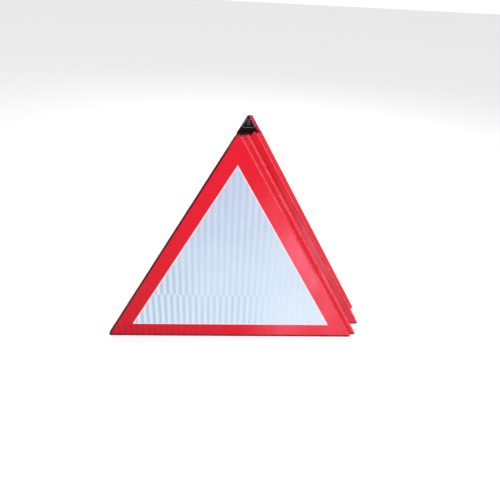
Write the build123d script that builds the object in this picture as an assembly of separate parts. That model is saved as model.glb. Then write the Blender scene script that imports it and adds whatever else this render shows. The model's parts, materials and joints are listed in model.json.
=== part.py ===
"""Folding four-leaf warning triangle, folded flat and standing a little sprung open.

Four triangular leaves of black fluted board carry a red border film and a white
field film on their outer faces.  Hinge tapes join the leaves' slanted edges in a
chain: front to second at the right, second to third at the left, third to rear at
the right.  Opened out, the chain makes a four-sided pyramid.

Frame: +X to the viewer's right, +Y away from the viewer, +Z up, millimetres.
Origin: on the ground, at the middle of the front leaf's front face.
"""
import math
import os

from build123d import *

# ---- leaf outline: the film triangle is the reference for every offset ----
FILM_SIDE = 900.0        # side of the equilateral red triangle
FILM_BASE = 6.5          # height of its base above the ground
BORDER = 50.9            # width of the red border
FIELD_GAP = 0.5          # between border film and field film
LEFT_MARGIN = 3.0        # board beyond the film at a left edge
RIGHT_MARGIN = 1.5       # board beyond the film at a right edge
RAIL_FLOOR = 1.5         # bottom rail under the board
BOARD_TOP = 782.0        # height of the cut-off tip
FILM_TOP = 781.0
CORNER_CUT = 5.0         # bottom corners of the board
FILM_LEFT_CUT = 9.0      # bottom corners of the border film
FILM_RIGHT_CUT = 2.0

# ---- sheet thicknesses ----
BOARD = 10.0
SKIN = 0.8
FLUTE_PITCH = 21.8
FLUTE_WEB = 0.9
FILM = 0.8
TAPE = 1.0
HEM_TAPE = 0.6           # the thinner part of a closing flap that lies on the edging
TAPE_INSET = 0.4         # a tape on the edging stays this far inside the edging's width
LIP = 1.2                # walls of the edging and of the rail
EDGING_LIP = 4.2         # how far the edging reaches, measured from the film edge
EDGING_TOP = 772.0       # the front leaf's edging runs on almost to the tip

# ---- how the leaves stand behind each other ----
SECOND_SHIFT = 22.0
SECOND_DEPTH = 14.0
THIRD_SHIFT = 48.0
THIRD_DEPTH = 28.0
REAR_DEPTH = 58.0
FAN_ANGLE = 3.4          # third and rear leaf, turned about the left hinge

# ---- hinge lines: offset beyond the film edge of the leaf in front ----
RIGHT_HINGE_OFFSET = 11.0
LEFT_HINGE_OFFSET = 15.0
LEFT_HINGE_DEPTH = 26.0
REAR_HINGE_OFFSET = 13.5
HEM = 24.0               # glued width of a hinge tape on the inner face
TAPE_SETBACK = 1.6       # each half of a tape stops this far from the hinge line
TAPE_LOW = 22.0
TAPE_HIGH = 735.0
REAR_TAPE_LOW = 68.0

# ---- closing flap at the rear leaf's left edge ----
FLAP_LENGTH = 170.0
FLAP_CENTRES = (250.0, 590.0)   # along the edge
FLAP_WIDTH = 80.0
FLAP_HINGE_OFFSET = 7.5
FLAP_STANDOFF = 2.0
HOOK_WIDTH = 25.0

# ---- apex tab, its loop and fasteners, in the rear leaf's own frame ----
TAB = 3.0
TAB_LEFT = 35.2          # offsets of the tab's slanted edges
TAB_RIGHT = 12.5
TAB_TOP = 821.5
TAB_WING_LOW = 765.5
TAB_LOW = 690.0
TRIM_WIDTH = 8.5
TRIM_LOW = 742.0
RIVET_R = 2.4
RIVET_HEAD_R = 5.0
RIVET_HEAD = 1.6
DOME_RATIO = 0.6         # flat top of a rivet head, as a part of its radius
RIVET_SPOTS = ((-22.0, 712.0), (22.0, 712.0), (0.0, 746.0))
WIRE_R = 1.1
WIRE_CLEARANCE = 0.05
LOOP_X = -17.0
LOOP_Z = 811.0
LOOP_TOP_WIDTH = 15.0
LOOP_BASE_WIDTH = 42.0
LOOP_DROP = 26.0
LOOP_BEND_R = 4.0
BARREL_R = 2.2
BARREL_LENGTH = 8.0
CLIP_SHEET = 1.2
CLIP_DROP = 20.0
CLIP_RIVET_R = 1.2
LOOP_Y = -TAB - BARREL_R
SAME_HEIGHT = 0.01       # two heights closer than this are one

LEFT = -1
RIGHT = 1
COS30 = math.cos(math.radians(30))
SIN30 = 0.5


def edge_x(side, offset, z):
    """x of the line at a distance outside the film triangle's left or right edge."""
    return side * (FILM_SIDE / 2 + (offset - SIN30 * (z - FILM_BASE)) / COS30)


def slab(outline, front, thickness):
    """A flat plate with an (x, z) outline, from y = front backwards."""
    corners = [Vector(x, front, z) for x, z in outline]
    face = Face(Wire.make_polygon(corners, close=True))
    return Solid.extrude(face, Vector(0, thickness, 0))


def strip(side, inner, outer, low, high):
    """Outline of a band along a slanted edge, between two offsets and two heights."""
    return [
        (edge_x(side, inner, low), low),
        (edge_x(side, outer, low), low),
        (edge_x(side, outer, high), high),
        (edge_x(side, inner, high), high),
    ]


def leaf_outline(left, right, bottom, top, left_cut, right_cut):
    """Triangle outline with a level cut at the tip and small cuts at the bottom corners."""
    low_left = edge_x(LEFT, left, bottom)
    low_right = edge_x(RIGHT, right, bottom)
    left_rise = bottom + left_cut * COS30
    right_rise = bottom + right_cut * COS30
    return [
        (low_left + left_cut, bottom),
        (low_right - right_cut, bottom),
        (edge_x(RIGHT, right, right_rise), right_rise),
        (edge_x(RIGHT, right, top), top),
        (edge_x(LEFT, left, top), top),
        (edge_x(LEFT, left, left_rise), left_rise),
    ]


def board_envelope(front, thickness):
    margins = (LEFT_MARGIN, RIGHT_MARGIN)
    outline = leaf_outline(*margins, RAIL_FLOOR, BOARD_TOP, CORNER_CUT, CORNER_CUT)
    return slab(outline, front, thickness)


def fluted_board():
    """Twin-wall board with open vertical flutes between its two skins."""
    board = board_envelope(0, BOARD)
    pairs = int((FILM_SIDE / 2 - FLUTE_PITCH) / FLUTE_PITCH)
    width = FLUTE_PITCH - FLUTE_WEB
    height = BOARD_TOP + 2 * BOARD
    flutes = []
    for index in range(-pairs, pairs):
        centre = (index + 0.5) * FLUTE_PITCH
        flute = Box(width, BOARD - 2 * SKIN, height)
        flutes.append(Pos(centre, BOARD / 2, height / 2) * flute)
    return board - flutes


def border_film(front):
    outline = leaf_outline(0, 0, FILM_BASE, FILM_TOP, FILM_LEFT_CUT, FILM_RIGHT_CUT)
    outer = slab(outline, front, FILM)
    inner_base = FILM_BASE + BORDER
    tip = FILM_BASE + COS30 * FILM_SIDE - 2 * BORDER
    window = [
        (edge_x(LEFT, -BORDER, inner_base), inner_base),
        (edge_x(RIGHT, -BORDER, inner_base), inner_base),
        (0, tip),
    ]
    return outer - slab(window, front, FILM)


def field_film(front):
    inset = BORDER + FIELD_GAP
    base = FILM_BASE + inset
    tip = FILM_BASE + COS30 * FILM_SIDE - 2 * inset
    outline = [
        (edge_x(LEFT, -inset, base), base),
        (edge_x(RIGHT, -inset, base), base),
        (0, tip),
    ]
    return slab(outline, front, FILM)


def bottom_rail():
    """U-shaped rail that the board's bottom edge stands in."""
    run = [
        (edge_x(LEFT, 0, FILM_BASE), 0),
        (edge_x(RIGHT, 0, FILM_BASE), 0),
        (edge_x(RIGHT, 0, FILM_BASE), FILM_BASE),
        (edge_x(LEFT, 0, FILM_BASE), FILM_BASE),
    ]
    rail = slab(run, -LIP, BOARD + 2 * LIP)
    channel = Box(2 * FILM_SIDE, BOARD, BOARD_TOP)
    return rail - Pos(0, BOARD / 2, RAIL_FLOOR + BOARD_TOP / 2) * channel


def left_edging(high):
    """U-shaped edging over a free left edge, up to a given height."""
    band = strip(LEFT, 0, EDGING_LIP, FILM_BASE + CORNER_CUT, high)
    return slab(band, -LIP, BOARD + 2 * LIP) - board_envelope(0, BOARD)


def hinge_tape(side, front, inner, outer, low):
    return slab(strip(side, inner, outer, low, TAPE_HIGH), front, TAPE)


def left_edge_point(along, offset):
    """(x, z) of a point measured along the left film edge from its foot, and outwards."""
    x = -FILM_SIDE / 2 + SIN30 * along - COS30 * offset
    return x, FILM_BASE + COS30 * along + SIN30 * offset


def flap_strip(front, inner, outer, thickness):
    """One square-ended band on each closing flap, between two offsets from the left film edge."""
    solids = []
    for centre in FLAP_CENTRES:
        ends = (centre - FLAP_LENGTH / 2, centre + FLAP_LENGTH / 2)
        outline = [left_edge_point(ends[0], inner), left_edge_point(ends[0], outer)]
        outline += [left_edge_point(ends[1], outer), left_edge_point(ends[1], inner)]
        solids.append(slab(outline, front, thickness))
    return Compound(solids)


def loop_tape():
    """Loop half of the fastening, on the front face of the front leaf's left edging."""
    outer = EDGING_LIP - TAPE_INSET
    band = strip(LEFT, TAPE_INSET, outer, FILM_BASE + 2 * CORNER_CUT, TAPE_HIGH)
    return slab(band, -LIP - TAPE, TAPE)


def rivet(x, z, front, grip, radius):
    """Rivet along Y with a low domed head at each end of its grip."""
    head_r = radius * RIVET_HEAD_R / RIVET_R
    head_h = radius * RIVET_HEAD / RIVET_R
    flat_r = head_r * DOME_RATIO
    profile = [(0, -head_h), (flat_r, -head_h), (head_r, 0), (radius, 0)]
    profile += [(radius, grip), (head_r, grip), (flat_r, grip + head_h), (0, grip + head_h)]
    corners = [Vector(r, y, 0) for r, y in profile]
    face = Face(Wire.make_polygon(corners, close=True))
    return Pos(x, front, z) * Solid.revolve(face, 360, Axis.Y)


def hole(x, z, radius):
    """Cutter for a hole along Y, long enough for the whole stack of leaves."""
    return Pos(x, 0, z) * Rot(90, 0, 0) * Cylinder(radius, 4 * REAR_DEPTH)


def clip_rivet_spot():
    return LOOP_X, LOOP_Z - CLIP_DROP + 2 * RIVET_HEAD


def apex_tab():
    """Plate on the rear leaf's inner face that rises above the tip."""
    outline = [
        (edge_x(LEFT, 0, TAB_LOW), TAB_LOW),
        (edge_x(RIGHT, 0, TAB_LOW), TAB_LOW),
        (edge_x(RIGHT, TAB_RIGHT, TAB_LOW + HEM), TAB_LOW + HEM),
        (edge_x(RIGHT, TAB_RIGHT, TAB_TOP), TAB_TOP),
        (edge_x(LEFT, TAB_LEFT, TAB_TOP), TAB_TOP),
        (edge_x(LEFT, TAB_LEFT, TAB_WING_LOW), TAB_WING_LOW),
        (edge_x(LEFT, 0, TAB_WING_LOW - HEM), TAB_WING_LOW - HEM),
    ]
    tab = slab(outline, -TAB, TAB)
    for x, z in RIVET_SPOTS:
        tab -= hole(x, z, RIVET_R)
    x, z = clip_rivet_spot()
    return tab - hole(x, z, CLIP_RIVET_R)


def apex_trim():
    """Red tape on the tab's right edge, in line with the rear hinge tape."""
    band = strip(RIGHT, TAB_RIGHT - TRIM_WIDTH, TAB_RIGHT, TRIM_LOW, TAB_TOP - TAPE)
    return slab(band, -TAB - TAPE, TAPE)


def split_at_top(path):
    """The same closed path, started at the middle of its top side."""
    ordered = path.order_edges()
    for index, edge in enumerate(ordered):
        middle = edge @ 0.5
        if abs(middle.Z - LOOP_Z) < SAME_HEIGHT:
            first = edge.trim(0.5, 1.0)
            last = edge.trim(0.0, 0.5)
            return Wire([first] + ordered[index + 1:] + ordered[:index] + [last])
    return path


def carry_loop():
    """Closed wire loop whose short top side turns in the clip's barrel."""
    top = LOOP_TOP_WIDTH / 2
    base = LOOP_BASE_WIDTH / 2
    corners = [(-top, 0), (top, 0), (base, -LOOP_DROP), (-base, -LOOP_DROP)]
    points = [Vector(LOOP_X + x, LOOP_Y, LOOP_Z + z) for x, z in corners]
    outline = Wire.make_polygon(points, close=True)
    path = outline.fillet_2d(LOOP_BEND_R, outline.vertices())
    start = Plane(origin=(LOOP_X, LOOP_Y, LOOP_Z), z_dir=(1, 0, 0))
    wire = sweep(start * Circle(WIRE_R), path=split_at_top(path))
    return wire.solid()


def loop_clip():
    """Sheet clip with a rolled barrel for the loop and a flat tail for its rivet."""
    x, z = clip_rivet_spot()
    along_barrel = Pos(LOOP_X, LOOP_Y, LOOP_Z) * Rot(0, 90, 0)
    barrel = along_barrel * Cylinder(BARREL_R, BARREL_LENGTH)
    bore = along_barrel * Cylinder(WIRE_R + WIRE_CLEARANCE, 2 * BARREL_LENGTH)
    tail = Box(BARREL_LENGTH, CLIP_SHEET, CLIP_DROP)
    tail = Pos(LOOP_X, -TAB - CLIP_SHEET / 2, LOOP_Z - CLIP_DROP / 2) * tail
    return (barrel + tail) - bore - hole(x, z, CLIP_RIVET_R)


def write(name, shape):
    export_step(shape, f"parts/{name}.step")


LEFT_HINGE = Axis(
    (edge_x(LEFT, LEFT_HINGE_OFFSET, FILM_BASE) + SECOND_SHIFT, LEFT_HINGE_DEPTH, FILM_BASE),
    (SIN30, 0, COS30),
)


def place_front(shape):
    return shape


def place_second(shape):
    return Pos(SECOND_SHIFT, SECOND_DEPTH, 0) * shape


def place_third(shape):
    moved = Pos(THIRD_SHIFT, THIRD_DEPTH, 0) * shape
    return moved.rotate(LEFT_HINGE, FAN_ANGLE)


def place_rear(shape):
    moved = Pos(THIRD_SHIFT, REAR_DEPTH, 0) * shape
    return moved.rotate(LEFT_HINGE, FAN_ANGLE)


def write_leaf(name, place, film_front, board, film_holes=()):
    border = border_film(film_front)
    for x, z in film_holes:
        border -= hole(x, z, RIVET_R)
    write(f"{name}_board", place(board))
    write(f"{name}_border_film", place(border))
    write(f"{name}_field_film", place(field_film(film_front)))
    write(f"{name}_bottom_rail", place(bottom_rail()))


def write_leaves():
    board = fluted_board()
    rear_board = board
    for x, z in RIVET_SPOTS:
        rear_board -= hole(x, z, RIVET_R)
    write_leaf("front", place_front, -FILM, board)
    write_leaf("second", place_second, BOARD, board)
    write_leaf("third", place_third, -FILM, board)
    write_leaf("rear", place_rear, BOARD, rear_board, RIVET_SPOTS)
    write("front_left_edging", place_front(left_edging(EDGING_TOP)))
    write("rear_left_edging", place_rear(left_edging(TAPE_HIGH)))


def write_hinge_tapes():
    shift = SECOND_SHIFT * COS30
    second_line = RIGHT_HINGE_OFFSET - shift
    third_line = LEFT_HINGE_OFFSET + (THIRD_SHIFT - SECOND_SHIFT) * COS30
    front_half = hinge_tape(RIGHT, BOARD, -HEM, RIGHT_HINGE_OFFSET - TAPE_SETBACK, TAPE_LOW)
    write("front_hinge_tape", place_front(front_half))
    second_half = hinge_tape(RIGHT, -TAPE, second_line - HEM, RIGHT_MARGIN, TAPE_LOW)
    write("second_right_hinge_tape", place_second(second_half))
    second_left = hinge_tape(LEFT, BOARD, 0, LEFT_HINGE_OFFSET - TAPE_SETBACK, TAPE_LOW)
    write("second_left_hinge_tape", place_second(second_left))
    third_left = hinge_tape(LEFT, -TAPE, 0, third_line - TAPE_SETBACK, TAPE_LOW)
    write("third_left_hinge_tape", place_third(third_left))
    outer = REAR_HINGE_OFFSET - TAPE_SETBACK
    third_right = hinge_tape(RIGHT, BOARD, -HEM, outer, REAR_TAPE_LOW)
    write("third_right_hinge_tape", place_third(third_right))
    rear_half = slab(strip(RIGHT, -HEM, outer, REAR_TAPE_LOW, TAB_LOW - HEM), -TAPE, TAPE)
    write("rear_hinge_tape", place_rear(rear_half))


def write_closing_flap():
    write("front_loop_tape", place_front(loop_tape()))
    outer = FLAP_HINGE_OFFSET - TAPE_SETBACK
    inner = FLAP_HINGE_OFFSET - FLAP_WIDTH
    face = BOARD + FLAP_STANDOFF
    hem = flap_strip(BOARD + LIP, TAPE_INSET, outer, HEM_TAPE)
    write("closing_flap_hem", place_rear(hem))
    flap = flap_strip(face + TAPE, inner, outer, TAPE)
    write("closing_flap", place_rear(flap))
    hook_inner = inner + TAPE
    hook = flap_strip(face, hook_inner, hook_inner + HOOK_WIDTH, TAPE)
    write("hook_tape", place_rear(hook))


def write_apex():
    write("apex_tab", place_rear(apex_tab()))
    write("apex_trim", place_rear(apex_trim()))
    grip = TAB + BOARD + FILM
    rivets = [rivet(x, z, -TAB, grip, RIVET_R) for x, z in RIVET_SPOTS]
    write("tab_rivets", place_rear(Compound(rivets)))
    write("loop_clip", place_rear(loop_clip()))
    x, z = clip_rivet_spot()
    clip_grip = CLIP_SHEET + TAB
    write("clip_rivet", place_rear(rivet(x, z, -clip_grip, clip_grip, CLIP_RIVET_R)))
    write("carry_loop", place_rear(carry_loop()))


os.makedirs("parts", exist_ok=True)
write_leaves()
write_hinge_tapes()
write_closing_flap()
write_apex()
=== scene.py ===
"""Looks of the folding warning triangle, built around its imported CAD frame."""
import json
import math

import bmesh
import bpy
import numpy as np
from mathutils import Matrix, Vector, noise


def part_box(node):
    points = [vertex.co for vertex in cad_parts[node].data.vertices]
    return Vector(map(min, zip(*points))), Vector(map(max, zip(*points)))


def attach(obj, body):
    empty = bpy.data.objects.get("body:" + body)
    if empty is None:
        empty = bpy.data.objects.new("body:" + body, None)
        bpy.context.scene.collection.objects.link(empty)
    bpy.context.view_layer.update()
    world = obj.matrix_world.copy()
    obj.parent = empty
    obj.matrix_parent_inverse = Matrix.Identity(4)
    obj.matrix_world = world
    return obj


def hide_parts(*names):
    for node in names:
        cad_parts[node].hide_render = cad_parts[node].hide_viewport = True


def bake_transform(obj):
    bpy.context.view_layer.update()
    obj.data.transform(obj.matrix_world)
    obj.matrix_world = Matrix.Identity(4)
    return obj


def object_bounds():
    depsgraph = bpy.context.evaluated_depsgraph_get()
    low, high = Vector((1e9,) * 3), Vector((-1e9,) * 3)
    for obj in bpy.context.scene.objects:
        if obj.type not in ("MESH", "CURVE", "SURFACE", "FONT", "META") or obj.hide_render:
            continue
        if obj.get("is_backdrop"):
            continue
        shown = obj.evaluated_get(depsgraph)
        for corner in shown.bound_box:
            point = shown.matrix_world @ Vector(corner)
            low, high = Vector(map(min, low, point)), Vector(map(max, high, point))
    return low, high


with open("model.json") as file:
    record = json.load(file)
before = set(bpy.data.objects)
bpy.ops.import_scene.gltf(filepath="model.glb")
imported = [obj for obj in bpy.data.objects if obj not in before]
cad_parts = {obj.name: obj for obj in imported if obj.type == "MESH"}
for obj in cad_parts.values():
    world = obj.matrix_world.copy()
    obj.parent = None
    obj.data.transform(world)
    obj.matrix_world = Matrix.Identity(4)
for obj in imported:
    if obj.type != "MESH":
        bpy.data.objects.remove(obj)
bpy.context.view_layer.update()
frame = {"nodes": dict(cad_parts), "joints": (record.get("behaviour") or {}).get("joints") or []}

COS30 = math.cos(math.radians(30))
SIN30 = 0.5
LEFT = -1
RIGHT = 1
SLANT = {LEFT: (-COS30, SIN30), RIGHT: (COS30, SIN30)}   # outwards from a slanted edge
MM = 0.001

# ---- sizes of the part, read from the frame where it has them ----
BORDER = 50.9 * MM
FIELD_GAP = 0.5 * MM
border_low, border_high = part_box("front_border_film")
field_low, field_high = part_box("front_field_film")
FILM_BASE = border_low.z
FILM_TOP = border_high.z
FILM = border_high.y - border_low.y   # thickness
FILM_SIDE = (field_high.x - field_low.x) + 2 * (BORDER + FIELD_GAP) / math.tan(math.radians(30))
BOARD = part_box("front_board")[1].y    # thickness
BOARD_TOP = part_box("front_board")[1].z
JOINTS = {joint["name"]: joint for joint in frame["joints"]}

# ---- films ----
FLUTE_PITCH = 21.8 * MM
FILM_CORNER_CUTS = {LEFT: 9 * MM, RIGHT: 2 * MM}   # at the bottom corners
BOARD_MARGIN = 1.5 * MM      # board beyond the film at a right edge
SEAM_HEIGHT = 190 * MM       # level seam across the field film
COLUMNS_PER_FLUTE = 8
FILM_ROW = 10 * MM           # height of one row of the film's mesh
FIELD_FILM = 0.5 * MM        # mean thickness
FIELD_WAVE = 0.3 * MM        # how far the flutes raise and sink it
BORDER_FILM = 0.68 * MM
BORDER_WAVE = 0.22 * MM
RIPPLE = 0.06 * MM
SETTLED = 4 * MM             # from the field's edge to its full relief
FIELD_HALF = 0.36            # half the field's width, its foot and its height
FIELD_FOOT = 0.06
FIELD_RISE = 0.63
BORDER_HALF = 0.45
WRAP_LOW = 1 * MM
WRAP_REACH = 2.5 * MM        # how far a wrap laps over its own border film
WRAP_BEND = 1.6 * MM
WRAP_START = 1 * MM          # outside the second leaf's hinge line

# ---- hinge tapes and flaps ----
CLOTH = 0.8 * MM
SECTION_STEP = 2.5 * MM      # largest step across a tape
RIBBON_STEP = 6 * MM         # step along a tape
HEM = 24 * MM                # how far a tape reaches onto a leaf
SHORT_HEM = 16 * MM
CLEAR = 0.1 * MM             # between a cloth and the face under it
TAPE_LOW = 8 * MM
TAPE_HIGH = 776 * MM
TAPE_INSET = 0.4 * MM
LEAST_BOW = 0.08 * MM        # how unevenly a tape lies
SLIGHT_BOW = 0.12 * MM
LOOSE_BOW = 0.35 * MM
BULGE = 0.6 * MM             # how far the rear tape stands out past its hinge line
FLAP_CENTRES = (250 * MM, 590 * MM)   # along the left film edge
FLAP_LENGTH = 170 * MM
FLAP_REACH = 72.5 * MM       # from the left film edge to a flap's free end
FLAP_HINGE = 7.5 * MM
HEM_END = 0.5 * MM           # these four are measured from a flap's free end
HEM_EDGE = 11 * MM
STITCH_ROWS = (9 * MM, 24.5 * MM)
HOOK_TAPE = (1 * MM, 26 * MM)
PILE = 0.55 * MM
PILE_STEP = 1.25 * MM
TUFT = 0.22 * MM
HEM_DEPTH = BOARD + 1.5 * MM
FLAP_DEPTH = BOARD + 3.5 * MM
FOLD = 0.46 * MM             # half the rise of the folded hem
STITCH = 3.4 * MM
STITCH_PITCH = 4.6 * MM
STITCH_MARGIN = 8 * MM       # a row is this much shorter than its flap
STITCH_SINK = 0.5 * MM
STITCH_RINGS = 5
THREAD_R = 0.32 * MM
THREAD_SIDES = 6


# ======================================================================
# placing a leaf
# ======================================================================
def turn_about(axis, start, end):
    """Angle that turns start into end about an axis."""
    axis = Vector(axis).normalized()
    a = Vector(start) - axis * axis.dot(Vector(start))
    b = Vector(end) - axis * axis.dot(Vector(end))
    return math.atan2(axis.dot(a.cross(b)), a.dot(b))


def fan_angle():
    """Angle of the third and the rear leaf to the second leaf at rest."""
    names = ("unfold_left", "unfold_right", "unfold_rear")
    return turn_about(*[JOINTS[name]["axis"] for name in names])


def fan_matrix():
    """How the third and the rear leaf are turned about the left hinge at rest."""
    hinge = JOINTS["unfold_left"]
    centre = Vector(hinge["pos_m"])
    turn = Matrix.Rotation(fan_angle(), 4, Vector(hinge["axis"]))
    return Matrix.Translation(centre) @ turn @ Matrix.Translation(-centre)


def leaf_matrix(name, turned):
    """From the front leaf's place to another leaf's place."""
    turn = fan_matrix() if turned else Matrix.Identity(4)
    back = turn.inverted()
    points = [back @ v.co for v in frame["nodes"][f"{name}_bottom_rail"].data.vertices]
    front_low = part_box("front_bottom_rail")[0]
    shift = Vector((
        min(p.x for p in points) - front_low.x,
        min(p.y for p in points) - front_low.y,
        min(p.z for p in points) - front_low.z,
    ))
    return turn @ Matrix.Translation(shift)


LEAVES = {
    "front": Matrix.Identity(4),
    "second": leaf_matrix("second", False),
    "third": leaf_matrix("third", True),
    "rear": leaf_matrix("rear", True),
}


def edge_x(side, offset, z):
    """x of the line at a distance outside the film triangle's slanted edge."""
    return side * (FILM_SIDE / 2 + (offset - SIN30 * (z - FILM_BASE)) / COS30)


def edge_offset(side, x, z):
    """How far a point lies outside the film triangle's slanted edge."""
    return (side * x - FILM_SIDE / 2) * COS30 + SIN30 * (z - FILM_BASE)


# ======================================================================
# node helpers
# ======================================================================
class Shader:
    """A node material that is built up call by call."""

    def __init__(self, name, coords="UV"):
        self.material = bpy.data.materials.new(name)
        self.material.use_nodes = True
        self.tree = self.material.node_tree
        self.bsdf = self.tree.nodes["Principled BSDF"]
        self.coords = self.tree.nodes.new("ShaderNodeTexCoord").outputs[coords]

    def node(self, kind, values=None, **settings):
        made = self.tree.nodes.new(kind)
        for key, value in settings.items():
            setattr(made, key, value)
        for key, value in (values or {}).items():
            self.put(made.inputs[key], value)
        return made

    def put(self, socket, value):
        if isinstance(value, bpy.types.NodeSocket):
            self.tree.links.new(value, socket)
        else:
            socket.default_value = value

    def scaled(self, scale):
        """The coordinates, stretched by a factor for each axis."""
        made = self.node("ShaderNodeMapping", {"Vector": self.coords})
        made.inputs["Scale"].default_value = scale
        return made.outputs["Vector"]

    def noise(self, scale, detail=4.0, rough=0.55, stretch=(1, 1, 1)):
        values = {"Vector": self.scaled(stretch), "Scale": scale, "Detail": detail, "Roughness": rough}
        return self.node("ShaderNodeTexNoise", values).outputs["Fac"]

    def math(self, operation, a, b=0.0):
        made = self.node("ShaderNodeMath", operation=operation)
        self.put(made.inputs[0], a)
        self.put(made.inputs[1], b)
        return made.outputs[0]

    def remap(self, value, low, high, to_low=0.0, to_high=1.0):
        values = {"Value": value, "From Min": low, "From Max": high, "To Min": to_low, "To Max": to_high}
        return self.node("ShaderNodeMapRange", values).outputs["Result"]

    def mix(self, factor, a, b):
        made = self.node("ShaderNodeMix", data_type="RGBA")
        self.put(made.inputs[0], factor)
        self.put(made.inputs[6], a)
        self.put(made.inputs[7], b)
        return made.outputs[2]

    def wave(self, scale, direction):
        values = {"Vector": self.coords, "Scale": scale}
        return self.node("ShaderNodeTexWave", values, bands_direction=direction).outputs["Fac"]

    def attribute(self, name):
        return self.node("ShaderNodeAttribute", attribute_name=name).outputs["Fac"]

    def axis(self, index):
        made = self.node("ShaderNodeSeparateXYZ", {"Vector": self.coords})
        return made.outputs[index]

    def bump(self, height, strength, distance, under=None):
        """A relief, on top of another one if under is given."""
        values = {"Height": height, "Strength": strength, "Distance": distance}
        if under is not None:
            values["Normal"] = under
        return self.node("ShaderNodeBump", values).outputs["Normal"]

    def finish(self, **inputs):
        """Sets the surface's inputs, named with _ for a space, and gives the material."""
        for key, value in inputs.items():
            self.put(self.bsdf.inputs[key.replace("_", " ")], value)
        return self.material


def rgb(red, green, blue):
    """Linear colour from the 0 to 255 values of a screen colour."""
    def linear(value):
        value /= 255
        return value / 12.92 if value <= 0.04045 else ((value + 0.055) / 1.055) ** 2.4
    return (linear(red), linear(green), linear(blue), 1.0)


# ======================================================================
# materials
# ======================================================================
def prism_cells(shader, scale):
    """Fine cells of prismatic reflective film."""
    values = {"Vector": shader.coords, "Scale": scale, "Randomness": 0.35}
    return shader.node("ShaderNodeTexVoronoi", values, feature="DISTANCE_TO_EDGE").outputs["Distance"]


def red_film():
    """Red reflective film: mottled, with painted shade towards the lower left and in the low grooves,
    and a patchy painted sheen on the right, where the film is also rougher.
    """
    s = Shader("red_reflective_film")
    across = s.remap(s.axis(0), -0.42, 0.46)
    height = s.remap(s.axis(1), 0.0, 0.78)
    # painted shade: the film is darker towards the lower left
    left = s.remap(across, 0.0, 0.55, 1.0, 0.0)
    low_left_shade = s.math("MULTIPLY", left, s.remap(height, 0.1, 0.75, 1.0, 0.0))
    base = s.mix(low_left_shade, rgb(220, 4, 36), rgb(194, 4, 28))
    mottle = s.remap(s.noise(46.0, 5.0), 0.35, 0.7)
    base = s.mix(s.math("MULTIPLY", mottle, 0.25), base, rgb(230, 22, 50))
    # painted sheen: a patchy pale veil on the right side, fading out towards the top; the same mask also
    # roughens the film
    cloud = s.remap(s.noise(7.5, 3.0, 0.5, (1.0, 0.45, 1.0)), 0.3, 0.62, 0.35, 1.0)
    right_side = s.remap(across, 0.5, 0.68)
    painted_sheen = s.math("MULTIPLY", s.math("MULTIPLY", right_side, cloud), s.remap(height, 0.85, 0.55))
    painted_sheen = s.math("MULTIPLY", painted_sheen, s.remap(height, 0.0, 0.45, 0.35, 1.0))
    base = s.mix(s.math("MULTIPLY", painted_sheen, 0.55), base, rgb(255, 142, 164))
    # painted shade in the flute grooves, low at the left of the border
    shown = s.math("MULTIPLY", s.remap(height, 0.09, 0.04), s.remap(across, 0.1, 0.7, 0.5, 0.0))
    base = s.mix(s.math("MULTIPLY", s.attribute("groove"), shown), base, rgb(140, 4, 18))
    fine = s.remap(prism_cells(s, 420.0), 0.0, 0.12)
    base = s.mix(s.math("MULTIPLY", s.math("SUBTRACT", 1.0, fine), 0.16), base, rgb(150, 8, 16))
    # painted highlight: the film pales to pink along its cut edge next to the white film
    rim = s.remap(s.attribute("rim"), 0.0004, 0.002, 0.95, 0.0)
    base = s.mix(rim, base, rgb(255, 222, 232))
    scratch = s.remap(s.noise(160.0, 2.0, 0.4, (1.0, 0.06, 1.0)), 0.62, 0.72)
    rough = s.remap(s.noise(18.0), 0.3, 0.7, 0.2, 0.34)
    rough = s.math("ADD", rough, s.math("MULTIPLY", scratch, 0.16))
    rough = s.math("ADD", rough, s.math("MULTIPLY", painted_sheen, 0.2))
    relief = s.bump(fine, 0.12, 0.0002, s.bump(s.noise(26.0, 3.0), 0.16, 0.002))
    return s.finish(
        Base_Color=base, Roughness=rough, Normal=relief, Specular_IOR_Level=0.15,
        Coat_Weight=0.06, Coat_Roughness=0.12, IOR=1.49,
    )


def white_film():
    """Pale prismatic film with a faint blue cast and rows of small cells, with painted shade towards the
    top and in the flute grooves, and painted light to the right and along its cut edge.
    """
    s = Shader("white_prismatic_film")
    # painted shade: the film is darker towards the top
    height = s.remap(s.axis(1), 0.05, 0.68)
    base = s.mix(height, rgb(206, 228, 240), rgb(176, 187, 211))
    cloud = s.remap(s.noise(5.0, 3.0), 0.3, 0.7)
    base = s.mix(s.math("MULTIPLY", cloud, 0.3), base, rgb(216, 224, 242))
    # painted light: the film is lighter towards the right
    painted_light_side = s.remap(s.axis(0), -0.1, 0.25, 0.0, 0.2)
    base = s.mix(painted_light_side, base, rgb(222, 226, 236))
    cells = s.remap(prism_cells(s, 300.0), 0.0, 0.1)
    base = s.mix(s.math("MULTIPLY", s.math("SUBTRACT", 1.0, cells), 0.06), base, rgb(150, 176, 212))
    # painted shade in the flute grooves
    groove_shade = s.math("MULTIPLY", s.attribute("groove"), 0.62)
    base = s.mix(groove_shade, base, rgb(112, 144, 182))
    # painted highlight: the film pales along its cut edge next to the border
    rim = s.remap(s.attribute("rim"), 0.0006, 0.0032, 0.85, 0.0)
    base = s.mix(rim, base, rgb(255, 236, 246))
    rough = s.remap(s.noise(24.0), 0.3, 0.7, 0.24, 0.4)
    relief = s.bump(cells, 0.04, 0.0001)
    return s.finish(
        Base_Color=base, Roughness=rough, Normal=relief, Metallic=0.08,
        Coat_Weight=0.25, Coat_Roughness=0.14, IOR=1.49,
    )


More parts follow.
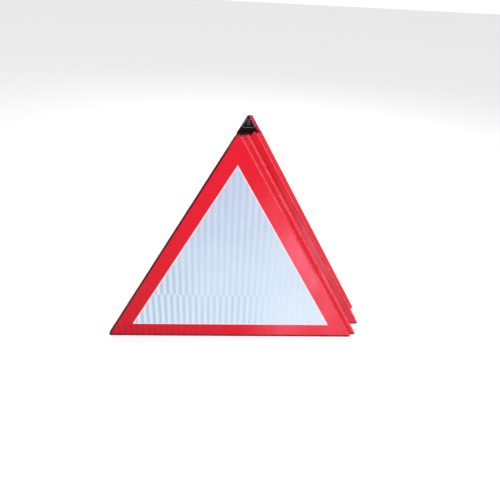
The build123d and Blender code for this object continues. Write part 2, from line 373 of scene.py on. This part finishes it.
def black_plastic(name, dark, light, flutes=False):
    """Dark polypropylene with scuffs, and flute lines where it is board."""
    s = Shader(name, "Object")
    base = s.mix(s.remap(s.noise(30.0), 0.35, 0.75), dark, light)
    scuff = s.remap(s.noise(210.0, 3.0, 0.6, (1.0, 1.0, 0.12)), 0.6, 0.75)
    base = s.mix(s.math("MULTIPLY", scuff, 0.2), base, rgb(86, 76, 80))
    rough = s.remap(s.noise(55.0), 0.3, 0.7, 0.36, 0.56)
    relief = s.bump(s.noise(900.0, 2.0), 0.12, 0.0003)
    if flutes:
        lines = s.wave(math.pi / FLUTE_PITCH / 10, "X")
        base = s.mix(s.remap(lines, 0.85, 1.0, 0.0, 0.35), base, rgb(52, 50, 53))
        relief = s.bump(lines, 0.35, 0.0012, relief)
    return s.finish(Base_Color=base, Roughness=rough, Normal=relief, Specular_IOR_Level=0.25)


def coated_cloth(name, dark, light, weave_scale, gloss):
    """Coated woven tape: the weave shows through a thin glossy coat."""
    s = Shader(name)
    over = s.wave(weave_scale, "X")
    under = s.wave(weave_scale, "Y")
    weave = s.math("MULTIPLY", over, under)
    base = s.mix(s.remap(weave, 0.0, 0.8), dark, light)
    base = s.mix(s.remap(s.noise(40.0), 0.45, 0.75, 0.0, 0.35), base, light)
    # painted highlight: the tape is lighter along its cut edges
    rim = s.remap(s.attribute("rim"), 0.0, 0.0012, 0.45, 0.0)
    base = s.mix(rim, base, light)
    rough = s.remap(s.noise(60.0), 0.3, 0.7, gloss, gloss + 0.16)
    relief = s.bump(weave, 0.3, 0.0003, s.bump(s.noise(70.0, 3.0), 0.25, 0.0015))
    return s.finish(Base_Color=base, Roughness=rough, Normal=relief, Specular_IOR_Level=0.25)


def pile_cloth(name):
    """Hook and loop pile."""
    s = Shader(name)
    pile = s.noise(2600.0, 3.0, 0.7)
    base = s.mix(s.remap(pile, 0.35, 0.7), rgb(10, 5, 7), rgb(40, 22, 26))
    relief = s.bump(pile, 0.9, 0.0008)
    return s.finish(Base_Color=base, Roughness=0.92, Normal=relief, Specular_IOR_Level=0.1)


def steel(name, stretch, tone, shine):
    """Dull or blackened steel with fine lines and a few dark spots."""
    s = Shader(name, "Object")
    lines = s.noise(700.0, 3.0, 0.6, stretch)
    spots = s.remap(s.noise(90.0, 3.0), 0.55, 0.75)
    base = s.mix(s.remap(lines, 0.3, 0.7), tone, shine)
    base = s.mix(s.math("MULTIPLY", spots, 0.5), base, rgb(70, 66, 64))
    rough = s.math("ADD", s.remap(lines, 0.3, 0.7, 0.2, 0.34), s.math("MULTIPLY", spots, 0.25))
    return s.finish(Base_Color=base, Metallic=1.0, Roughness=rough, Normal=s.bump(lines, 0.2, 0.0002))


def thread():
    """Twisted sewing thread."""
    s = Shader("sewing_thread", "Object")
    twist = s.wave(900.0, "DIAGONAL")
    base = s.mix(twist, rgb(96, 94, 98), rgb(168, 166, 170))
    return s.finish(Base_Color=base, Roughness=0.8, Normal=s.bump(twist, 0.4, 0.0002))


def wrap_film():
    """Red film pulled round an edge, where it shines and pales along the bend."""
    s = Shader("red_wrap_film")
    base = s.mix(s.remap(s.noise(60.0, 4.0), 0.35, 0.7), rgb(226, 18, 42), rgb(244, 60, 80))
    pale = s.remap(s.noise(14.0, 3.0, 0.5, (0.4, 1.0, 1.0)), 0.5, 0.7, 0.0, 0.4)
    base = s.mix(pale, base, rgb(250, 108, 128))
    rough = s.remap(s.noise(30.0), 0.3, 0.7, 0.18, 0.32)
    relief = s.bump(s.noise(90.0, 3.0), 0.12, 0.001)
    return s.finish(
        Base_Color=base, Roughness=rough, Normal=relief, Specular_IOR_Level=0.3,
        Coat_Weight=0.25, Coat_Roughness=0.1,
    )


def floor_paint():
    """Plain pale studio floor with a barely visible grain."""
    s = Shader("studio_floor", "Object")
    base = s.mix(s.noise(6.0), rgb(246, 246, 246), rgb(250, 250, 250))
    return s.finish(Base_Color=base, Roughness=0.8, Emission_Color=base, Emission_Strength=0.36)


MATERIAL = {
    "red_film": red_film(),
    "white_film": white_film(),
    "board": black_plastic("black_fluted_board", rgb(12, 10, 12), rgb(26, 23, 25), flutes=True),
    "edging": black_plastic("maroon_black_edging", rgb(84, 16, 24), rgb(132, 34, 44)),
    "tab": black_plastic("black_tab", rgb(20, 8, 12), rgb(50, 24, 30)),
    "red_tape": coated_cloth("red_coated_tape", rgb(212, 8, 34), rgb(232, 44, 72), 340.0, 0.3),
    "black_tape": coated_cloth("black_coated_tape", rgb(10, 9, 11), rgb(38, 36, 40), 340.0, 0.45),
    "pile": pile_cloth("hook_and_loop_pile"),
    "wire": steel("dull_steel_wire", (0.08, 1.0, 1.0), rgb(88, 82, 84), rgb(160, 154, 156)),
    "rivet": steel("blackened_rivet", (1.0, 1.0, 1.0), rgb(46, 40, 42), rgb(90, 82, 84)),
    "clip": steel("blackened_steel_clip", (1.0, 1.0, 0.08), rgb(52, 48, 50), rgb(84, 78, 80)),
    "wrap_film": wrap_film(),
    "thread": thread(),
    "floor": floor_paint(),
}


# ======================================================================
# mesh helpers
# ======================================================================
def new_object(name, mesh, material):
    """Puts a mesh with one material into the scene."""
    mesh.name = name
    made = bpy.data.objects.new(name, mesh)
    bpy.context.scene.collection.objects.link(made)
    mesh.materials.append(material)
    return made


def cut(bm, point, outward, keep_outside=False):
    """Splits a flat grid along a line in x and z; what lies beyond goes unless keep_outside."""
    geometry = bm.verts[:] + bm.edges[:] + bm.faces[:]
    bmesh.ops.bisect_plane(
        bm, geom=geometry, dist=1e-7, plane_co=(point[0], 0, point[1]),
        plane_no=(outward[0], 0, outward[1]), clear_outer=not keep_outside,
    )


def flat_grid(columns, rows):
    """A grid in the x, z plane with one vertex line for each column and row."""
    bm = bmesh.new()
    grid = [[bm.verts.new((x, 0, z)) for z in rows] for x in columns]
    for i in range(len(columns) - 1):
        for j in range(len(rows) - 1):
            bm.faces.new((grid[i][j], grid[i + 1][j], grid[i + 1][j + 1], grid[i][j + 1]))
    return bm


def film_grid():
    """A grid over the whole film, fine enough across the flutes."""
    step = FLUTE_PITCH / COLUMNS_PER_FLUTE
    half = int(FILM_SIDE / 2 / step) + 1
    columns = [step * i for i in range(-half, half + 1)]
    count = int((FILM_TOP - FILM_BASE) / FILM_ROW) + 1
    rows = [FILM_BASE + FILM_ROW * j for j in range(count + 1)]
    return flat_grid(columns, rows)


def cut_triangle(bm, inset, keep_outside=False):
    """Cuts along the film triangle's three edges, moved inwards by inset."""
    base = FILM_BASE + inset
    cut(bm, (0, base), (0, -1), keep_outside)
    for side in (LEFT, RIGHT):
        cut(bm, (edge_x(side, -inset, base), base), SLANT[side], keep_outside)


def cut_film_corners(bm):
    """The border film's level tip and its two clipped bottom corners."""
    cut(bm, (0, FILM_TOP), (0, 1))
    for side in (LEFT, RIGHT):
        corner = side * (FILM_SIDE / 2 - FILM_CORNER_CUTS[side])
        cut(bm, (corner, FILM_BASE), (side * COS30, -SIN30))


def beyond_triangle(x, z, inset):
    """How far a point lies outside the triangle moved inwards by inset; negative inside."""
    slants = [edge_offset(side, x, z) + inset for side in (LEFT, RIGHT)]
    return max(FILM_BASE + inset - z, *slants)


def flute_wave(x, z, strength_at):
    """Relief of the flutes under the film, and how deep a point lies in a groove."""
    shift = FLUTE_PITCH / 2 if z < SEAM_HEIGHT else 0.0
    phase = 2 * math.pi * (x + shift) / FLUTE_PITCH
    strength = strength_at(x, z)
    ridge = math.cos(phase)
    groove = (0.5 - 0.5 * ridge) ** 1.5
    return strength * ridge, strength * groove


def field_strength(x, z):
    """The flutes show most at the left and low down, and fade to the right."""
    across = (x + FIELD_HALF) / (2 * FIELD_HALF)
    height = (z - FIELD_FOOT) / FIELD_RISE
    patchy = noise.noise(Vector((x * 6, z * 4, 3.1)))
    fade = max(0.06, 1.05 - 1.25 * across)
    low = max(0.35, 1.1 - 0.75 * height)
    high = 0.5 * max(0.0, height - 0.45)
    return max(0.04, min(1.0, fade * low + high + 0.3 * patchy))


def border_strength(x, _):
    """Under the border the flutes show a little, at the left."""
    across = (x + BORDER_HALF) / (2 * BORDER_HALF)
    return max(0.08, 0.5 - 0.55 * across)


def close_sheet(bm, back):
    """Gives a displaced sheet a flat back at y = back, and walls along its outline."""
    rim = [edge for edge in bm.edges if edge.is_boundary]
    front_faces = bm.faces[:]
    twin = {v: bm.verts.new((v.co.x, back, v.co.z)) for v in bm.verts[:]}
    for face in front_faces:
        bm.faces.new([twin[v] for v in reversed(face.verts)])
    for edge in rim:
        a, b = edge.verts
        bm.faces.new((a, b, twin[b], twin[a]))
    bmesh.ops.recalc_face_normals(bm, faces=bm.faces[:])


def write_uv(mesh):
    """UV in metres: a vertex's x and z."""
    layer = mesh.uv_layers.new(name="metres")
    for loop in mesh.loops:
        place = mesh.vertices[loop.vertex_index].co
        layer.data[loop.index].uv = (place.x, place.z)


def write_attribute(mesh, name, values):
    """One number for each vertex, which the materials read."""
    attribute = mesh.attributes.new(name, "FLOAT", "POINT")
    attribute.data.foreach_set("value", np.array(values, np.float32))


def film_height(kind, x, z):
    """Thickness of the film above its board at a point."""
    ripple = RIPPLE * noise.noise(Vector((x * 11, z * 9, 7.7)))
    if kind == "field":
        wave, _ = flute_wave(x, z, field_strength)
        near = abs(beyond_triangle(x, z, BORDER + FIELD_GAP))
        settle = min(1.0, near / SETTLED)
        return FIELD_FILM + (FIELD_WAVE * wave + ripple) * settle
    wave, _ = flute_wave(x, z, border_strength)
    return BORDER_FILM + BORDER_WAVE * wave + ripple


def rim_distance(kind, x, z):
    """Distance to the cut edge between the two films, which catches the light."""
    inset = BORDER + FIELD_GAP if kind == "field" else BORDER
    return abs(beyond_triangle(x, z, inset))


def film_outline(kind):
    """The flat grid, cut to the outline of one kind of film."""
    bm = film_grid()
    if kind == "field":
        cut_triangle(bm, BORDER + FIELD_GAP)
        return bm
    cut_triangle(bm, 0)
    cut_film_corners(bm)
    cut_triangle(bm, BORDER, keep_outside=True)
    centres = [(face, face.calc_center_median()) for face in bm.faces]
    inner = [face for face, centre in centres if beyond_triangle(centre.x, centre.z, BORDER) < 0]
    bmesh.ops.delete(bm, geom=inner, context="FACES")
    return bm


def film_piece(leaf, kind, outward, material):
    """One film sheet of one leaf; outward is -1 on a front face and +1 on a rear face."""
    bm = film_outline(kind)
    face_y = 0.0 if outward < 0 else BOARD
    for vertex in bm.verts:
        vertex.co.y = face_y + outward * film_height(kind, vertex.co.x, vertex.co.z)
    close_sheet(bm, face_y)
    mesh = bpy.data.meshes.new(f"{leaf}_{kind}")
    bm.to_mesh(mesh)
    bm.free()
    write_uv(mesh)
    points = [(v.co.x, v.co.z) for v in mesh.vertices]
    write_attribute(mesh, "rim", [rim_distance(kind, x, z) for x, z in points])
    # depth in a flute groove; the films paint shade in the grooves with it
    write_attribute(mesh, "groove", [flute_wave(x, z, field_strength)[1] for x, z in points])
    made = new_object(f"{leaf}_{kind}_sheet", mesh, material)
    made.matrix_world = LEAVES[leaf]
    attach(made, f"{leaf}_leaf")
    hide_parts(f"{leaf}_{kind}_film")


def films():
    """Both films of each leaf, on the leaf's outer face."""
    for leaf, outward in (("front", -1), ("second", 1), ("third", -1), ("rear", 1)):
        film_piece(leaf, "border", outward, MATERIAL["red_film"])
        film_piece(leaf, "field", outward, MATERIAL["white_film"])


# ======================================================================
# hinge tapes and other cloth
# ======================================================================
def arc(centre, radii, start, end, steps):
    """Points of an elliptic arc in the (offset, depth) plane, angles in degrees."""
    points = []
    for i in range(steps + 1):
        angle = math.radians(start + (end - start) * i / steps)
        points.append((centre[0] + radii[0] * math.cos(angle), centre[1] + radii[1] * math.sin(angle)))
    return points


def finer(points, step):
    """The same open outline with points at most one step apart."""
    result = [points[0]]
    for a, b in zip(points, points[1:]):
        length = math.hypot(b[0] - a[0], b[1] - a[1])
        count = max(1, math.ceil(length / step))
        for i in range(1, count + 1):
            result.append((a[0] + (b[0] - a[0]) * i / count, a[1] + (b[1] - a[1]) * i / count))
    return result


def running_lengths(section):
    """Distance from the first point along an outline to each of its points."""
    lengths = [0.0]
    for a, b in zip(section, section[1:]):
        lengths.append(lengths[-1] + math.hypot(b[0] - a[0], b[1] - a[1]))
    return lengths


def add_patch(bm, rows, lengths, uv_start, uv_step):
    """Adds rows of points as quads, with UV in metres along and across them."""
    layer = bm.loops.layers.uv["metres"]
    grid = [[bm.verts.new(point) for point in row] for row in rows]
    for j in range(len(grid) - 1):
        for i in range(len(lengths) - 1):
            corners = ((j, i), (j, i + 1), (j + 1, i + 1), (j + 1, i))
            face = bm.faces.new([grid[row][column] for row, column in corners])
            for loop, (row, column) in zip(face.loops, corners):
                loop[layer].uv = (uv_start + row * uv_step, lengths[column])


def cloth_object(name, bm, rim, material, thickness):
    """Turns patches into a cloth object; rim is each vertex's distance to a cut edge."""
    mesh = bpy.data.meshes.new(name)
    bm.to_mesh(mesh)
    bm.free()
    write_attribute(mesh, "rim", rim)
    made = new_object(name, mesh, material)
    thicken(made, thickness)
    return made


def ribbon(name, side, profile, low, high, material, waviness):
    """Cloth tape that follows a slanted edge; its cross-section is (offset, depth) points."""
    section = finer(profile, SECTION_STEP)
    lengths = running_lengths(section)
    count = int((high - low) / RIBBON_STEP)
    rows = []
    for j in range(count + 1):
        z = low + (high - low) * j / count
        # near the tip the tape ends where the leaf does
        furthest_in = -(BOARD_TOP - z) * COS30 - RIBBON_STEP
        row = []
        for (offset, depth), along in zip(section, lengths):
            bow = waviness * noise.noise(Vector((z * 17, along * 60, side * 2.0)))
            row.append((edge_x(side, max(offset, furthest_in), z), depth + bow, z))
        rows.append(row)
    bm = bmesh.new()
    bm.loops.layers.uv.new("metres")
    add_patch(bm, rows, lengths, 0.0, RIBBON_STEP / COS30)
    rim = [min(length, lengths[-1] - length) for length in lengths] * (count + 1)
    return cloth_object(name, bm, rim, material, CLOTH)


def thicken(obj, thickness):
    """Gives a sheet its thickness, and makes the result its own mesh."""
    solid = obj.modifiers.new("thickness", "SOLIDIFY")
    solid.thickness = thickness
    solid.offset = 0.0
    solid.use_even_offset = False
    bake(obj)
    for polygon in obj.data.polygons:
        polygon.use_smooth = True


def bake(obj):
    """Applies an object's modifiers to its mesh."""
    graph = bpy.context.evaluated_depsgraph_get()
    shaped = obj.evaluated_get(graph)
    mesh = bpy.data.meshes.new_from_object(shaped, preserve_all_data_layers=True, depsgraph=graph)
    obj.modifiers.clear()
    obj.data = mesh


def hinge_offset(joint, leaf, side):
    """Where a hinge line lies in a leaf's own (offset, depth) plane."""
    point = LEAVES[leaf].inverted() @ Vector(JOINTS[joint]["pos_m"])
    return edge_offset(side, point.x, point.z), point.y


def right_hinge_tape():
    """Red tape from the front leaf's inner face to the second leaf's."""
    hinge, depth = hinge_offset("unfold_right", "front", RIGHT)
    inner = BOARD + CLOTH / 2 + CLEAR
    outer = LEAVES["second"].translation.y - CLOTH / 2 - CLEAR
    half = (outer - inner) / 2
    profile = [(-HEM, inner), (hinge - half, inner)]
    profile += arc((hinge - half, depth), (half, half), -90, 90, 6)[1:]
    profile.append((-SHORT_HEM, outer))
    material = MATERIAL["red_tape"]
    made = ribbon("right_hinge_tape", RIGHT, profile, TAPE_LOW, TAPE_HIGH, material, SLIGHT_BOW)
    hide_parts("front_hinge_tape", "second_right_hinge_tape")
    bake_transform(made)


def edge_wrap(leaf, first, last, front_gap, rear_gap):
    """Red film that wraps a leaf's right edge: from offset first in front to offset last behind."""
    front = -front_gap - CLOTH / 2
    rear = BOARD + rear_gap + CLOTH / 2
    side = BOARD_MARGIN + 2 * CLEAR
    profile = [(first, front), (side, front)]
    profile += arc((side, front + WRAP_BEND), (WRAP_BEND, WRAP_BEND), -90, 0, 5)[1:]
    profile += arc((side, rear - WRAP_BEND), (WRAP_BEND, WRAP_BEND), 0, 90, 5)
    profile.append((last, rear))
    material = MATERIAL["wrap_film"]
    made = ribbon(f"{leaf}_edge_wrap", RIGHT, profile, WRAP_LOW, TAPE_HIGH, material, 0.0)
    made.matrix_world = LEAVES[leaf]
    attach(made, f"{leaf}_leaf")


def edge_wraps():
    """The leaves' right edges; the second leaf's wrap also covers its face beyond the hinge line."""
    second_line, _ = hinge_offset("unfold_right", "second", RIGHT)
    edge_wrap("front", -WRAP_REACH, 0.0, FILM, CLEAR)
    edge_wrap("second", second_line + WRAP_START, -WRAP_REACH, CLEAR, FILM)
    edge_wrap("third", -WRAP_REACH, 0.0, FILM, CLEAR)
    edge_wrap("rear", 0.0, -WRAP_REACH, CLEAR, FILM)


def left_hinge_tape():
    """Black tape between the outer faces of the second and the third leaf."""
    hinge, depth = hinge_offset("unfold_left", "second", LEFT)
    third_hinge, _ = hinge_offset("unfold_left", "third", LEFT)
    inner = BOARD + CLOTH / 2 + CLEAR
    half = depth - inner
    profile = [(TAPE_INSET, inner), (hinge - half, inner)]
    profile += arc((hinge - half, depth), (half, half), -90, 90, 6)[1:]
    slope = math.tan(fan_angle())
    run = third_hinge - TAPE_INSET
    profile.append((hinge - run, depth + half + slope * run))
    material = MATERIAL["black_tape"]
    made = ribbon("left_hinge_tape", LEFT, profile, TAPE_LOW, TAPE_HIGH, material, LEAST_BOW)
    made.matrix_world = LEAVES["second"]
    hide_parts("second_left_hinge_tape", "third_left_hinge_tape")
    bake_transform(made)


def rear_hinge_tape():
    """Red tape that bulges out between the inner faces of the third and the rear leaf."""
    hinge, depth = hinge_offset("unfold_rear", "third", RIGHT)
    inner = BOARD + CLOTH / 2 + CLEAR
    half = depth - inner
    reach = hinge - BOARD_MARGIN + BULGE
    profile = [(-HEM, inner), (BOARD_MARGIN, inner)]
    profile += arc((BOARD_MARGIN, depth), (reach, half), -90, 90, 18)[1:]
    profile.append((-HEM, depth + half))
    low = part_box("third_right_hinge_tape")[0].z
    material = MATERIAL["red_tape"]
    made = ribbon("rear_hinge_tape", RIGHT, profile, low, TAPE_HIGH, material, LOOSE_BOW)
    made.matrix_world = LEAVES["third"]
    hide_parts("third_right_hinge_tape", "rear_hinge_tape")
    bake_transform(made)


# ======================================================================
# closing flaps
# ======================================================================
def left_edge_point(along, offset):
    """A point at a distance along the left film edge and an offset outwards from it."""
    x = -FILM_SIDE / 2 + along * SIN30 - offset * COS30
    return x, FILM_BASE + along * COS30 + offset * SIN30


def flap_curl(along, offset):
    """How far a flap stands off towards its free end and its corners."""
    free = max(0.0, (FLAP_HINGE - offset) / (FLAP_HINGE + FLAP_REACH))
    side = min(abs(along - centre) for centre in FLAP_CENTRES) / (FLAP_LENGTH / 2)
    wrinkle = 0.5 * MM * noise.noise(Vector((along * 24, offset * 30, 1.7)))
    return free ** 2 * (0.9 * MM + 1.5 * MM * side ** 4) + free * (wrinkle + 0.3 * MM)


def flap_sheets(name, section, material, step, height_at, thickness):
    """One sheet on each flap; the section is (offset, depth) points across the flap."""
    section = finer(section, step)
    lengths = running_lengths(section)
    count = int(FLAP_LENGTH / step)
    bm = bmesh.new()
    bm.loops.layers.uv.new("metres")
    rim = []
    for centre in FLAP_CENTRES:
        rows = []
        for j in range(count + 1):
            along = centre + FLAP_LENGTH * (j / count - 0.5)
            row = []
            for offset, depth in section:
                x, z = left_edge_point(along, offset)
                row.append((x, depth + height_at(along, offset, depth), z))
            rows.append(row)
            ends = min(j, count - j) * step
            rim += [min(ends, length, lengths[-1] - length) for length in lengths]
        add_patch(bm, rows, lengths, centre, step)
    made = cloth_object(name, bm, rim, material, thickness)
    made.matrix_world = LEAVES["rear"]
    return made


def closing_flaps():
    """Cloth flaps with a sewn hem, from their band on the rear leaf around the bend."""
    bend = (FLAP_DEPTH - HEM_DEPTH) / 2
    turn = FLAP_HINGE - bend
    middle = HEM_DEPTH + bend
    free_end = HEM_END - FLAP_REACH
    section = [(TAPE_INSET, HEM_DEPTH), (turn, HEM_DEPTH)]
    section += arc((turn, middle), (bend, bend), -90, 90, 10)[1:]
    section.append((free_end, FLAP_DEPTH))
    section += arc((free_end, FLAP_DEPTH + FOLD), (FOLD, FOLD), -90, -270, 6)[1:]
    section.append((HEM_EDGE - FLAP_REACH, FLAP_DEPTH + 2 * FOLD))

    def height_at(along, offset, depth):
        return flap_curl(along, offset) if depth > middle else 0.0

    material = MATERIAL["black_tape"]
    made = flap_sheets("closing_flaps", section, material, SECTION_STEP, height_at, CLOTH)
    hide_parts("closing_flap", "closing_flap_hem")
    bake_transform(made)


def hook_tapes():
    """The hook half of the fastening, a rough pile on each flap's inner face."""
    depth = FLAP_DEPTH - CLOTH

    def height_at(along, offset, _):
        tuft = noise.noise(Vector((along * 700, offset * 700, 5.0)))
        return flap_curl(along, offset) + TUFT * tuft

    section = [(edge - FLAP_REACH, depth) for edge in HOOK_TAPE]
    made = flap_sheets("hook_tapes", section, MATERIAL["pile"], PILE_STEP, height_at, PILE)
    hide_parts("hook_tape")
    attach(made, "closing_flap")


def stitch(bm, along, offset, depth):
    """One stitch: a short thread that dips into the cloth at both ends."""
    rings = []
    for i in range(STITCH_RINGS):
        part = i / (STITCH_RINGS - 1) - 0.5
        x, z = left_edge_point(along + part * STITCH, offset)
        sink = STITCH_SINK * (2 * part) ** 4
        ring = []
        for k in range(THREAD_SIDES):
            angle = 2 * math.pi * k / THREAD_SIDES
            side = THREAD_R * math.cos(angle)
            rise = depth + THREAD_R * math.sin(angle) - sink
            ring.append(bm.verts.new((x - side * COS30, rise, z + side * SIN30)))
        rings.append(ring)
    for a, b in zip(rings, rings[1:]):
        for k in range(THREAD_SIDES):
            after = (k + 1) % THREAD_SIDES
            bm.faces.new((a[k], a[after], b[after], b[k]))


def flap_stitches():
    """Two rows of stitches on each flap: through its hem, and along the hook tape."""
    hem_row, tape_row = STITCH_ROWS
    rows = ((hem_row - FLAP_REACH, FLAP_DEPTH + 2 * FOLD), (tape_row - FLAP_REACH, FLAP_DEPTH))
    count = int((FLAP_LENGTH - STITCH_MARGIN) / STITCH_PITCH)
    bm = bmesh.new()
    for centre in FLAP_CENTRES:
        for offset, depth in rows:
            for i in range(count):
                along = centre + (i - (count - 1) / 2) * STITCH_PITCH
                top = depth + CLOTH / 2 + CLEAR
                stitch(bm, along, offset, top + flap_curl(along, offset))
    mesh = bpy.data.meshes.new("flap_stitches")
    bm.to_mesh(mesh)
    bm.free()
    for polygon in mesh.polygons:
        polygon.use_smooth = True
    made = new_object("flap_stitches", mesh, MATERIAL["thread"])
    made.matrix_world = LEAVES["rear"]
    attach(made, "closing_flap")


closing_flaps()
hook_tapes()
flap_stitches()
right_hinge_tape()
edge_wraps()
left_hinge_tape()
rear_hinge_tape()
films()


# ======================================================================
# CAD nodes that stay, with their finish
# ======================================================================
FINISHES = {
    "apex_tab": "tab", "apex_trim": "red_tape", "tab_rivets": "rivet", "clip_rivet": "rivet",
    "loop_clip": "clip", "carry_loop": "wire", "front_loop_tape": "pile",
}


def finish_of(node):
    """Which finish a carried CAD node gets."""
    if node.endswith("_board"):
        return "board"
    return FINISHES.get(node, "edging")


def dress_cad_nodes():
    """Gives each CAD node its one material."""
    for name, node in frame["nodes"].items():
        node.data.materials.clear()
        node.data.materials.append(MATERIAL[finish_of(name)])


dress_cad_nodes()


# ======================================================================
# studio
# ======================================================================
SIGN_MIDDLE = (0, 0, 0.4)
FLOOR_HALF = 14.0
FLOOR_DROP = 0.5 * MM
WORLD_LIGHT = 0.5
WORLD_SEEN = 1.1
EYE = (-0.054, -1.37, 1.24)
AIM = (0.052, 0.0, 0.384)
ROLL = 3.36                  # degrees; the view is a little slanted
LENS = 34.6


def studio_floor():
    """A plain floor, just under the sign's feet."""
    low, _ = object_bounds()
    lines = [-FLOOR_HALF, 0, FLOOR_HALF]
    bm = flat_grid(lines, lines)
    mesh = bpy.data.meshes.new("floor")
    bm.to_mesh(mesh)
    bm.free()
    made = new_object("floor", mesh, MATERIAL["floor"])
    made.rotation_euler = (math.radians(-90), 0, 0)
    made.location = (0, 0, low[2] - FLOOR_DROP)
    made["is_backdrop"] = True


def soft_light(name, place, size, power):
    """A rectangular lamp that looks at the middle of the sign."""
    data = bpy.data.lights.new(name, "AREA")
    data.shape = "RECTANGLE"
    data.size, data.size_y = size
    data.energy = power
    made = bpy.data.objects.new(name, data)
    made.location = place
    direction = Vector(SIGN_MIDDLE) - Vector(place)
    made.rotation_euler = direction.to_track_quat("-Z", "Y").to_euler()
    bpy.context.scene.collection.objects.link(made)


def studio_light():
    """Four soft lamps: low at the left, high in front, at the right and behind."""
    soft_light("side", (-2.8, -0.9, 1.1), (0.7, 1.8), 18)
    soft_light("key", (0.9, -2.6, 2.8), (2.2, 1.8), 38)
    soft_light("fill", (2.8, -1.2, 1.5), (1.6, 2.0), 26)
    soft_light("back", (0.4, 2.4, 2.6), (2.6, 2.0), 26)


def studio_world():
    """White surroundings, brighter to the camera than as light."""
    world = bpy.data.worlds.new("studio")
    world.use_nodes = True
    tree = world.node_tree
    background = tree.nodes["Background"]
    background.inputs["Color"].default_value = (1, 1, 1, 1)
    seen = tree.nodes.new("ShaderNodeLightPath").outputs["Is Camera Ray"]
    strength = tree.nodes.new("ShaderNodeMapRange")
    strength.inputs["To Min"].default_value = WORLD_LIGHT
    strength.inputs["To Max"].default_value = WORLD_SEEN
    tree.links.new(seen, strength.inputs["Value"])
    tree.links.new(strength.outputs["Result"], background.inputs["Strength"])
    bpy.context.scene.world = world


def camera():
    """Looks down at the front leaf from the height of a hand-held camera."""
    data = bpy.data.cameras.new("camera")
    data.sensor_width = 36.0
    data.lens = LENS
    made = bpy.data.objects.new("camera", data)
    facing = (Vector(AIM) - Vector(EYE)).to_track_quat("-Z", "Y").to_matrix().to_4x4()
    roll = Matrix.Rotation(math.radians(ROLL), 4, "Z")
    made.matrix_world = Matrix.Translation(EYE) @ facing @ roll
    bpy.context.scene.collection.objects.link(made)
    bpy.context.scene.camera = made


studio_floor()
studio_light()
studio_world()
camera()
bpy.context.scene.view_settings.view_transform = "Standard"
